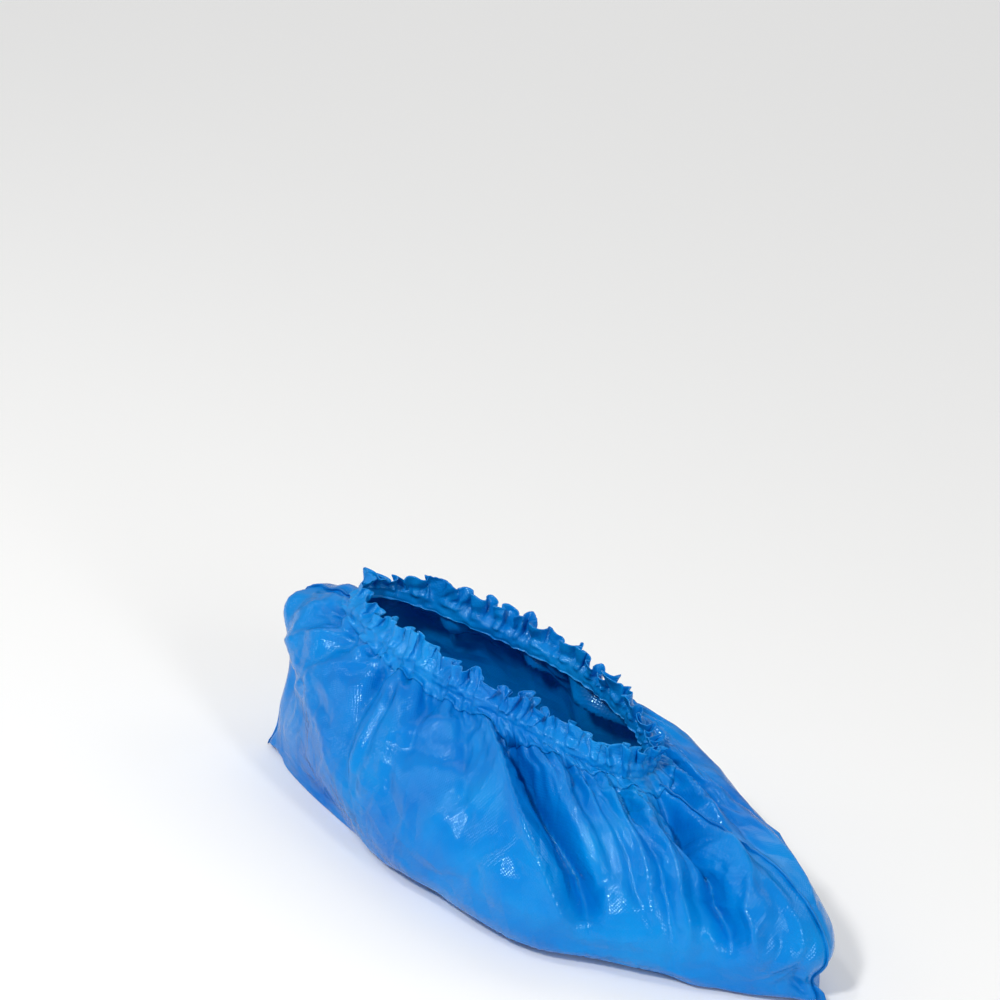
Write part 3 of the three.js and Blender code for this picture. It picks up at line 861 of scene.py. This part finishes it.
settled = settle(outer_leaf, spare_round, spare_up, hold, frill_rounds)
inner_leaf = inner_leaf + (settled - outer_leaf) * smooth(0.0, 0.3, leaf_up)[..., None]
outer_leaf = settled
leaf_normals = grid_normals(outer_leaf)
leaf_share_up = leaf_up[..., None]
joined = smooth(0.15, 0.6, leaf_share_up)
inner_leaf = mix(inner_leaf, outer_leaf - leaf_gap * leaf_normals, joined)
hem_rings = list(outer_leaf) + list(reversed(inner_leaf))
hem_points = np.concatenate(hem_rings)
hem_faces = ring_faces(len(hem_rings), hem_columns)
rim_lengths = np.concatenate([[0.0], np.cumsum(np.linalg.norm(np.diff(rim, axis=0), axis=1))])
hem_map = np.concatenate([np.stack([rim_lengths * 1.8, np.full(hem_columns, 0.8 * k)], axis=1)
                          for k in range(len(hem_rings))])
ruffled_hem = new_mesh("ruffled_hem_sheet", hem_points, hem_faces, hem_map)
hem_solid = ruffled_hem.modifiers.new("thickness", "SOLIDIFY")
hem_solid.thickness = leaf_thickness * MM
hem_solid.offset = -1.0
hem_blue = film_material("blue_film_hem", colour(0, 110, 198), colour(4, 132, 212), colour(26, 150, 222),
                         1.1 * MM, 0.20)
ruffled_hem.data.materials.append(hem_blue)
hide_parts("ruffled_hem")
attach(ruffled_hem, "root")

# Elastic.
# A plain pale band, stretched as it is worn, runs loose in the hem's channel.
# The hem hides it, so the CAD band stays and takes a woven finish.

band = Shader("pale_elastic")
band_place = band.make("ShaderNodeTexCoord", output="Object")
ribs = band.make("ShaderNodeTexWave", {"wave_type": "BANDS"},
                 {"Vector": band_place, "Scale": 260.0, "Distortion": 1.5, "Detail": 2.0})
band_colour = band.make("ShaderNodeValToRGB",
                        {"stops": ((0.0, colour(196, 202, 206)), (1.0, colour(236, 239, 241)))}, [ribs])
band_bump = band.make("ShaderNodeBump", {}, {"Strength": 0.4, "Distance": 0.0002, "Height": ribs})
band.set(Base_Color=band_colour, Normal=band_bump, Roughness=0.7)
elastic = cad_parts["elastic"]
elastic.data.materials.clear()
elastic.data.materials.append(band.material)

# Heel and toe welds.
# The two layers of film are heat welded face to face up the heel and up the toe.
# The weld stands out as a narrow crimped edge, and at its foot is an ear of the flat cover's corner.

weld_width = 1.1
weld_layers = 0.5
ear_rows = 4
weld_blue = film_material("blue_film_weld", colour(0, 96, 182), colour(0, 114, 194), colour(10, 130, 206),
                          0.8 * MM, 0.26)


def weld(name, node, column, ear_length, ear_height):
    """A crimped edge up a column of the wall, with an ear at its foot, in millimetres."""
    corner_row = int(math.ceil(wall_rows / (len(levels) - 1)))
    last_row = wall_rows - 3
    normals = grid_normals(wall)
    after = (column + 2) % column_count
    normals[:, column] = 0.25 * (2.0 * normals[:, column] + normals[:, column - 2] + normals[:, after])
    rings = []
    for row in range(corner_row, last_row + 1):
        foot = wall[row, column]
        outward = normals[row, column] / np.linalg.norm(normals[row, column])
        rise = wall[row + 1, column] - wall[row - 1, column]
        across = np.cross(rise, outward)
        across = across / np.linalg.norm(across)
        height = foot[2] - wall[corner_row, column][2]
        ear = ear_length * math.exp(-(height / ear_height) ** 2)
        width = max(weld_width, ear)
        sway = 0.35 * math.sin(0.55 * row) * across
        half = 0.5 * weld_layers * across
        edge = foot + outward * width + sway
        middle = foot + outward * (0.5 * width) + 0.5 * sway
        if row < corner_row + ear_rows:
            drop = 0.5 * foot[2] * (1.0 - (row - corner_row) / ear_rows)
            edge = edge - np.array([0.0, 0.0, drop])
        root = foot - 0.3 * outward
        rings.append([edge - half, edge + half, middle + half, root + half, root - half, middle - half])
    points = np.concatenate([np.array(ring) for ring in rings])
    points[:, 2] = np.maximum(points[:, 2], 0.0)
    corners = len(rings[0])
    faces = ring_faces(len(rings), corners)
    faces.append(tuple(reversed(range(corners))))
    faces.append(tuple(range((len(rings) - 1) * corners, len(rings) * corners)))
    piece = new_mesh(name, points, faces, points[:, :2])
    piece.data.materials.append(weld_blue)
    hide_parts(node)
    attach(piece, "root")
    return piece


heel_edge = weld("heel_weld_edge", "heel_weld", 0, 1.4, 4.0)
toe_edge = weld("toe_weld_edge", "toe_weld", column_count // 2, 5.0, 4.0)

# Floor, light and camera.
# A plain pale floor and soft studio light from above and both sides.

bpy.ops.mesh.primitive_plane_add(size=6.0, location=(0.0, 0.0, 0.0))
floor = bpy.context.object
floor.name = "floor"
paper = Shader("pale_floor")
paper.set(Base_Color=(0.97, 0.965, 0.95, 1.0), Roughness=0.9)
floor.data.materials.append(paper.material)

bpy.context.scene.view_settings.view_transform = "Standard"

world = bpy.data.worlds.new("studio")
world.use_nodes = True
world.node_tree.nodes["Background"].inputs["Color"].default_value = (0.97, 0.98, 1.0, 1.0)
world.node_tree.nodes["Background"].inputs["Strength"].default_value = 0.36
bpy.context.scene.world = world


def softbox(name, place, aim, size, power):
    lamp = bpy.data.lights.new(name, "AREA")
    lamp.shape = "RECTANGLE"
    lamp.size, lamp.size_y = size
    lamp.energy = power
    lamp_object = bpy.data.objects.new(name, lamp)
    lamp_object.location = place
    lamp_object.rotation_euler = (Vector(aim) - Vector(place)).to_track_quat("-Z", "Y").to_euler()
    bpy.context.scene.collection.objects.link(lamp_object)


softbox("key", (0.1, -1.25, 1.15), (0.0, 0.0, 0.03), (0.16, 0.16), 12.0)
softbox("left strip", (-1.1, -0.9, 0.8), (0.0, 0.0, 0.03), (0.15, 0.9), 2.6)
softbox("right strip", (1.3, -0.5, 0.7), (0.0, 0.0, 0.03), (0.15, 0.9), 6.0)
softbox("upper", (-0.35, -0.75, 1.5), (0.0, 0.0, 0.03), (0.15, 0.15), 3.0)
softbox("back", (0.5, 1.1, 1.1), (0.0, 0.0, 0.03), (0.6, 0.4), 1.5)
softbox("sweep", (-1.4, 2.0, 2.2), (-1.4, 2.0, 0.0), (2.5, 2.5), 25.0)

view_azimuth = math.radians(35.2)
view_elevation = math.radians(22.3)
view_roll = math.radians(9.4)
view_distance = 1285.0 * MM
view_side = -11.3 * MM
view_rise = 144.6 * MM
view_width = math.radians(18.0)
back = Vector((math.sin(view_azimuth) * math.cos(view_elevation),
               -math.cos(view_azimuth) * math.cos(view_elevation),
               math.sin(view_elevation)))
level_right = Vector((math.cos(view_azimuth), math.sin(view_azimuth), 0.0))
level_up = back.cross(level_right)
right = level_right * math.cos(view_roll) + level_up * math.sin(view_roll)
up = level_up * math.cos(view_roll) - level_right * math.sin(view_roll)
lens = bpy.data.cameras.new("photo_view")
lens.sensor_fit = "HORIZONTAL"
lens.angle = view_width
lens.clip_start = 0.05
camera = bpy.data.objects.new("photo_view", lens)
turn_to_view = Matrix((right, up, back)).transposed().to_4x4()
camera_place = right * view_side + up * view_rise + back * view_distance
camera.matrix_world = Matrix.Translation(camera_place) @ turn_to_view
bpy.context.scene.collection.objects.link(camera)
bpy.context.scene.camera = camera
